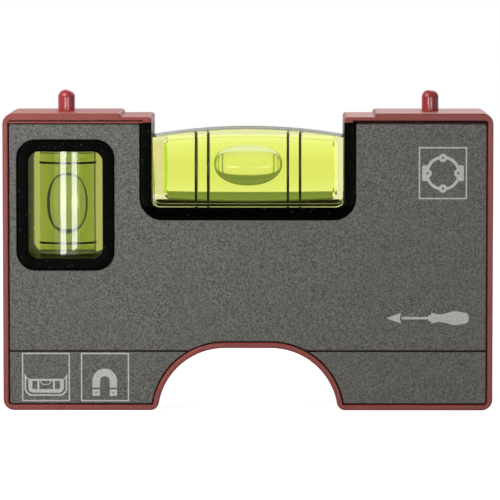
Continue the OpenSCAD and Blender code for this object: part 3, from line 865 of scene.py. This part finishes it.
plumb_section = [(x + plumb_axis.x, y, radius) for x, y, radius in plumb_section]
prism = moulding([plumb_section], 0, 2 * plumb_high.z)
bmesh.ops.rotate(prism, verts=prism.verts[:], cent=(0, 0, 0), matrix=Matrix.Rotation(math.pi / 2, 3, "X"))
plumb_block = merged(moulding([plumb_outline], plumb_low.y, plumb_high.y), prism, "INTERSECT")
piece("plumb_acrylic", plumb_block, plumb_clear_with_painted_shade, ["plumb_vial_block"])
plumb_fill = barrel(plumb_axis, Vector((0, 0, 1)), *PLUMB_BORE_ENDS, PLUMB_BORE, PLUMB_CURVE,
                    PLUMB_CHAMFER)
piece("plumb_spirit", plumb_fill, plumb_spirit, ["plumb_vial_liquid"],
      body="plumb_liquid")

# %% [markdown]
# ## The bubbles
# A bubble in a barrel vial is a flat lens of air: it lies against the wall, behind a thin film of spirit,
# so its outer side follows the bore, and surface tension rounds its ends. A sphere is scaled to the lens
# and then bent round the vial's axis, point by point, which keeps it closed and smooth.

# %% Bubble helper
# 2 would give an ellipse, more than 2 a fuller outline
BUBBLE_FULLNESS = 2.2


def bubble(axis_spot, along, half_length, half_width, front, curve, depths, lift):
    """A lens of air near the front wall of the bore; lift turns it round the axis."""
    outer_depth, inner_depth = depths
    bm = bmesh.new()
    bmesh.ops.create_uvsphere(bm, u_segments=96, v_segments=48, radius=1.0)
    across = along.cross(Vector((0, -1, 0)))
    for v in bm.verts:
        flat = math.hypot(v.co.x, v.co.z)
        full = (abs(v.co.x) ** BUBBLE_FULLNESS + abs(v.co.z) ** BUBBLE_FULLNESS) ** (1 / BUBBLE_FULLNESS)
        swell = flat / full if full > 0 else 1.0
        side = v.co.x * swell * half_width
        ahead = v.co.z * swell * half_length
        wall = front - curve + math.sqrt(curve ** 2 - side ** 2)
        out = wall - outer_depth + v.co.y * (outer_depth if v.co.y > 0 else inner_depth)
        v.co = along * ahead + across * side + Vector((0, -out, 0))
    bmesh.ops.rotate(bm, verts=bm.verts[:], cent=(0, 0, 0), matrix=Matrix.Rotation(lift, 3, along))
    bmesh.ops.translate(bm, verts=bm.verts[:], vec=axis_spot)
    bmesh.ops.recalc_face_normals(bm, faces=bm.faces[:])
    return bm


print("a bubble's outline has a fullness of", BUBBLE_FULLNESS)

# %% Bubbles
WALL_FILM = 0.25 * MM
LEVEL_AIR_HALF = 3.5 * MM
LEVEL_AIR_DEPTHS = (1.1 * MM, 2.6 * MM)
LEVEL_AIR_RISE = math.radians(3.5)
PLUMB_AIR_HALF = 2.95 * MM
PLUMB_AIR_DEPTHS = (0.5 * MM, 1.8 * MM)
PLUMB_AIR_FRONT = 3.9 * MM
PLUMB_AIR_CURVE = 8.2 * MM

low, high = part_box("level_vial_bubble")
middle = (low + high) / 2
level_lift = math.atan2(middle.z - level_axis.z, -middle.y)
level_wall = LEVEL_BORE - WALL_FILM
level_air = bubble(level_axis, Vector((1, 0, 0)), (high.x - low.x) / 2, LEVEL_AIR_HALF, level_wall,
                   level_wall, LEVEL_AIR_DEPTHS, -level_lift - LEVEL_AIR_RISE)
piece("level_air_bubble", level_air, air, ["level_vial_bubble"], body="level_bubble")

low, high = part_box("plumb_vial_bubble")
plumb_air = bubble(plumb_axis, Vector((0, 0, 1)), (high.z - low.z) / 2, PLUMB_AIR_HALF, PLUMB_AIR_FRONT,
                   PLUMB_AIR_CURVE, PLUMB_AIR_DEPTHS, 0.0)
piece("plumb_air_bubble", plumb_air, air, ["plumb_vial_bubble"], body="plumb_bubble")

# %% [markdown]
# ## Rings and plugs
# The level vial's marking rings and both plugs are small turned shapes whose CAD solids are already right,
# so these nodes stay and only get their finish. On the plumb vial only the front of each ring shows. So
# its two rings are drawn as arcs: one small section, spun through a little more than a half turn.

# %% Rings and plugs
def dress(node, material):
    """Give a CAD node that stays its finish."""
    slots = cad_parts[node].data.materials
    slots.clear()
    slots.append(material)


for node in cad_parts:
    if node.startswith("level_vial_ring_"):
        dress(node, ring_paint)
    if node.endswith("_plug"):
        dress(node, milky_acrylic)
print("level rings and plugs keep their CAD shape")

# %% Plumb rings
RING_TALL = 0.34 * MM
RING_THICK = 0.12 * MM
RING_TURN = math.radians(200)
RING_STEPS = 48
ring_start = Matrix.Rotation(-RING_TURN / 2, 3, "Z")
for which in ("upper", "lower"):
    low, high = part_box("plumb_vial_ring_" + which)
    middle = (low + high) / 2
    radius = (high.x - low.x) / 2
    section = [(radius - RING_THICK, -RING_TALL / 2), (radius, -RING_TALL / 2), (radius, RING_TALL / 2),
               (radius - RING_THICK, RING_TALL / 2)]
    arc = bmesh.new()
    corners = [arc.verts.new(middle + ring_start @ Vector((0, -out, up))) for out, up in section]
    stamp = arc.faces.new(corners)
    bmesh.ops.spin(arc, geom=[stamp, *stamp.edges, *stamp.verts], cent=middle, axis=(0, 0, 1),
                   angle=RING_TURN, steps=RING_STEPS, use_duplicate=False)
    bmesh.ops.recalc_face_normals(arc, faces=arc.faces[:])
    print("open edges:", sum(not edge.is_manifold for edge in arc.edges))
    piece("plumb_ring_" + which, arc, ring_paint, ["plumb_vial_ring_" + which])

# %% [markdown]
# ## Pins and magnets
# The pins and the disc magnets are turned parts. Their CAD solids would do, but they need rounded edges
# that catch the light, so each is a profile of four corners spun round its own upright axis.

# %% Pins and magnets
TURNED_STEPS = 64
PIN_TIP_ROUND = 1.25 * MM
MAGNET_EDGE = 0.25 * MM


def turned(foot, profile):
    """Spin a profile of (radius, height, round) corners about an upright axis through its foot."""
    bm = bmesh.new()
    trace(bm, profile, closed=False, plane=lambda out, up: foot + Vector((out, 0, up)))
    bmesh.ops.spin(bm, geom=bm.verts[:] + bm.edges[:], cent=foot, axis=(0, 0, 1), angle=2 * math.pi,
                   steps=TURNED_STEPS, use_merge=True, use_duplicate=False)
    bmesh.ops.remove_doubles(bm, verts=bm.verts[:], dist=WELD)
    bmesh.ops.recalc_face_normals(bm, faces=bm.faces[:])
    return bm


turned_pieces = (("pin", "box_pin", 0, PIN_TIP_ROUND, red_acetal, "pin_red"),
                 ("magnet", "disc_magnet", MAGNET_EDGE, MAGNET_EDGE, nickel, "magnet_metal"))
for hand in ("left", "right"):
    for node, name, low_round, high_round, finish, slot in turned_pieces:
        low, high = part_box(f"{node}_{hand}")
        foot = Vector(((low.x + high.x) / 2, (low.y + high.y) / 2, low.z))
        radius = (high.x - low.x) / 2
        tall = high.z - low.z
        profile = [(0, 0, 0), (radius, 0, low_round), (radius, tall, high_round), (0, tall, 0)]
        piece(f"{name}_{hand}", turned(foot, profile), finish, [f"{node}_{hand}"])

# %% [markdown]
# ## The printed signs
# Four small signs are printed in white on the front: a wall box with its four screw holes, a screwdriver
# that points the way, a level vial and a magnet. Pad print is a skin of ink. It could be drawn inside the
# plate's material, but as a moulding three hundredths of a millimetre thick it keeps a sharp edge and is a
# shape of its own. The corners of the signs are written in mm.

# %% Sign helpers
INK = 0.03 * MM
INK_SINK = 0.01 * MM
INK_LINE = 0.23
plate_front = plate_low.y


def inked(*loops):
    """A flat inked shape on the front plate; corners are in mm."""
    scaled = [[(x * MM, z * MM, radius * MM) for x, z, radius in corners] for corners in loops]
    return moulding(scaled, plate_front - INK, plate_front + INK_SINK)


def dot(x, z, radius):
    """A round outline."""
    return rounded_rectangle(x - radius, x + radius, z - radius, z + radius, radius)


def square_line(low_x, high_x, low_z, high_z):
    """Outer and inner outline of a thin square frame."""
    return (rounded_rectangle(low_x, high_x, low_z, high_z, 0.08),
            rounded_rectangle(low_x + INK_LINE, high_x - INK_LINE, low_z + INK_LINE, high_z - INK_LINE, 0))


def joined(*shapes):
    """One bmesh that holds several separate shapes."""
    whole = bmesh.new()
    for shape in shapes:
        mesh = bpy.data.meshes.new("part")
        shape.to_mesh(mesh)
        shape.free()
        whole.from_mesh(mesh)
        bpy.data.meshes.remove(mesh)
    return whole


print("signs are", INK / MM, "mm thick")

# %% Wall box sign
BOX_X, BOX_Z = 31.8, 38.84
BOX_OUTER, BOX_INNER = 2.84, 2.36
HOLE_CIRCLE, BOSS, HOLE = 2.5, 0.68, 0.2
EAR_IN, EAR_OUT, EAR_HALF, EAR_ROUND = 2.45, 3.4, 1.28, 0.3
box_ring = plain_object("box_ring", inked(dot(BOX_X, BOX_Z, BOX_OUTER), dot(BOX_X, BOX_Z, BOX_INNER)))
for ear in (-1, 1):
    edges = sorted((BOX_X + ear * EAR_IN, BOX_X + ear * EAR_OUT))
    ear_shape = inked(rounded_rectangle(*edges, BOX_Z - EAR_HALF, BOX_Z + EAR_HALF, EAR_ROUND))
    combine(box_ring, plain_object("ear", ear_shape), "UNION")
holes = [(BOX_X + HOLE_CIRCLE * math.cos(turn), BOX_Z + HOLE_CIRCLE * math.sin(turn))
         for turn in (0, math.pi / 2, math.pi, 3 * math.pi / 2)]
for radius, operation in ((BOSS, "UNION"), (HOLE, "DIFFERENCE")):
    for x, z in holes:
        combine(box_ring, plain_object("screw_place", inked(dot(x, z, radius))), operation)
box_frame = inked(*square_line(27.85, 35.72, 34.6, 43.12))
piece("wall_box_sign", joined(released(box_ring), box_frame), sign_ink)

# %% Screwdriver sign
DRIVER_Z = 15.14
handle_top = [(29.92, 0.90, 0.05), (31.35, 0.52, 2.5), (33.75, 1.2, 3.0), (36.07, 0.8, 0.75)]
handle = [(x, DRIVER_Z + half, radius) for x, half, radius in handle_top]
handle += [(x, DRIVER_Z - half, radius) for x, half, radius in reversed(handle_top)]
arrow = [(22.6, DRIVER_Z, 0), (25.0, DRIVER_Z + 0.87, 0), (24.84, DRIVER_Z, 0), (25.0, DRIVER_Z - 0.87, 0)]
blade = rounded_rectangle(25.13, 29.5, DRIVER_Z - 0.2, DRIVER_Z + 0.2, 0)
ferrule = rounded_rectangle(29.5, 29.92, DRIVER_Z - 0.5, DRIVER_Z + 0.5, 0.08)
driver = joined(inked(arrow), inked(blade), inked(ferrule), inked(handle))
piece("screwdriver_sign", driver, sign_ink)

# %% Vial sign
vial_shape = [(-35.9, 5.14, 0), (-35.9, 2.86, 0.8), (-30.09, 2.86, 0.8), (-30.09, 5.14, 0)]
cells = [rounded_rectangle(left, right, 3.44, 4.81, 0)
         for left, right in ((-35.25, -34.44), (-34.1, -31.88), (-31.56, -30.75))]
cup = [(-36.53, 5.99, 0), (-36.53, 2.34, 1.3), (-29.54, 2.34, 1.3), (-29.54, 5.99, 0), (-30.09, 5.14, 0),
       (-30.09, 4.9, 0), (-29.8, 5.3, 0), (-29.8, 2.6, 1.05), (-36.27, 2.6, 1.05), (-36.27, 5.3, 0),
       (-35.9, 4.9, 0), (-35.9, 5.14, 0)]
bubble_line = [(-33.94, 4.83, 0), (-33.94, 4.16, 0.6), (-32.18, 4.16, 0.6), (-32.18, 4.83, 0),
               (-32.32, 4.83, 0), (-32.32, 4.29, 0.5), (-33.8, 4.29, 0.5), (-33.8, 4.83, 0)]
vial_frame = inked(*square_line(-36.95, -29.09, 1.45, 9.42))
vial = joined(inked(vial_shape, *cells), inked(cup), inked(bubble_line), vial_frame)
piece("vial_sign", vial, sign_ink)

# %% Magnet sign
horseshoe = [(-25.42, 3.7, 0), (-25.42, 6.81, 2.015), (-21.39, 6.81, 2.015), (-21.39, 3.7, 0),
             (-22.58, 3.7, 0), (-22.58, 5.58, 0.805), (-24.19, 5.58, 0.805), (-24.19, 3.7, 0)]
poles = [inked(rounded_rectangle(left, right, 2.34, 3.42, 0), dot((left + right) / 2, 2.88, 0.14))
         for left, right in ((-25.42, -24.19), (-22.58, -21.39))]
magnet_frame = inked(*square_line(-27.3, -19.41, 1.45, 9.42))
piece("magnet_sign", joined(inked(horseshoe), *poles, magnet_frame), sign_ink)
